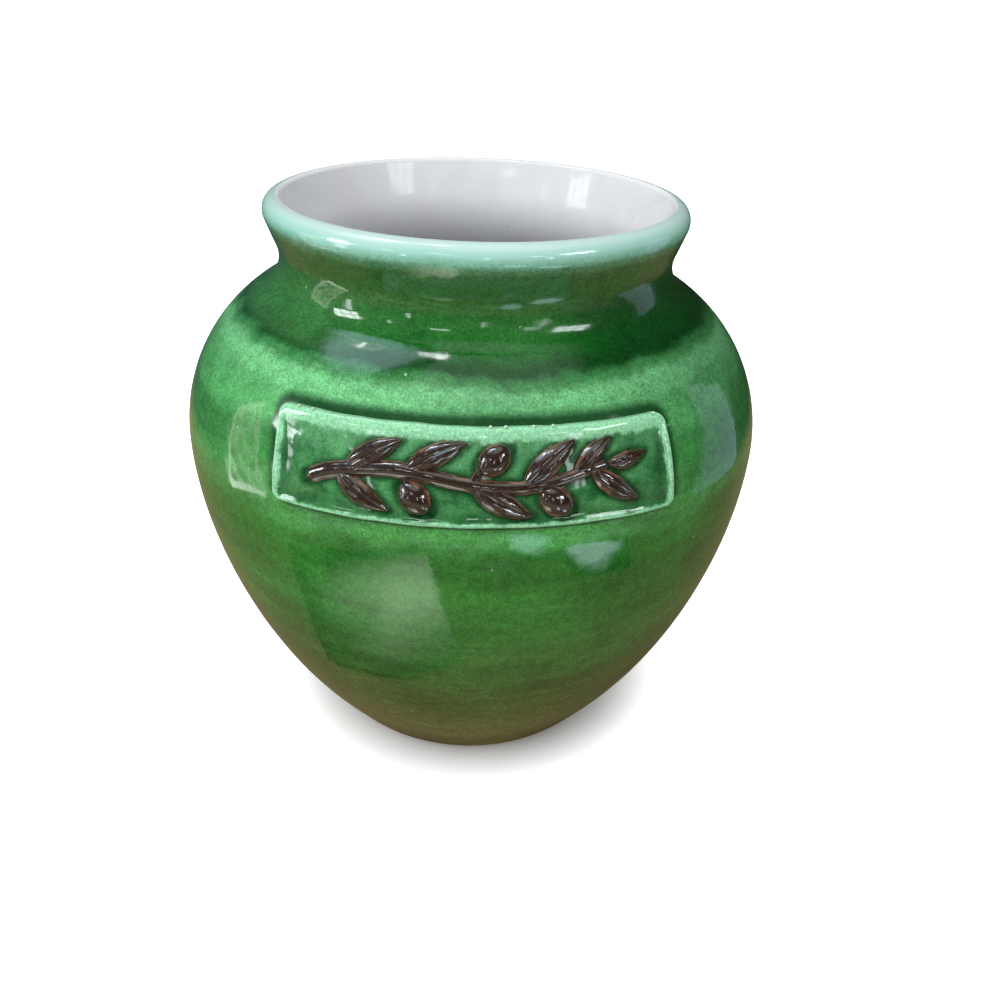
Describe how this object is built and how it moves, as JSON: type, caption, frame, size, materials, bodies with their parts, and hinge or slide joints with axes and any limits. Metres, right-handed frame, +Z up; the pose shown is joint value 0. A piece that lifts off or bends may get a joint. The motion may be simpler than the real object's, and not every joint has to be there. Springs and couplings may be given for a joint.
{
  "type": "olive jar",
  "caption": "Small round-bellied glazed stoneware jar with a short neck, a rolled lip, a curved label slab on its shoulder and an olive sprig in relief.",
  "frame": {"origin": "middle of the foot ring, on the surface that the jar stands on", "axes": "+Z up through the mouth, -Y out through the middle of the label, +X to the right of someone who faces the label"},
  "size_m": [0.124, 0.1251, 0.12],
  "materials": {
    "clay": "matte",
    "green_glaze": "gloss",
    "cream_glaze": "gloss",
    "mint_glaze": "gloss",
    "brown_glaze": "gloss"
  },
  "bodies": {
    "root": {"jar_body": "clay", "outer_glaze": "green_glaze", "inner_glaze": "cream_glaze", "label_plaque": "mint_glaze", "sprig_stem": "brown_glaze", "leaf_1": "brown_glaze", "leaf_2": "brown_glaze", "leaf_3": "brown_glaze", "leaf_4": "brown_glaze", "leaf_5": "brown_glaze", "leaf_6": "brown_glaze", "leaf_7": "brown_glaze", "leaf_8": "brown_glaze", "olive_1": "brown_glaze", "olive_2": "brown_glaze", "olive_3": "brown_glaze"}
  },
  "joints": []
}
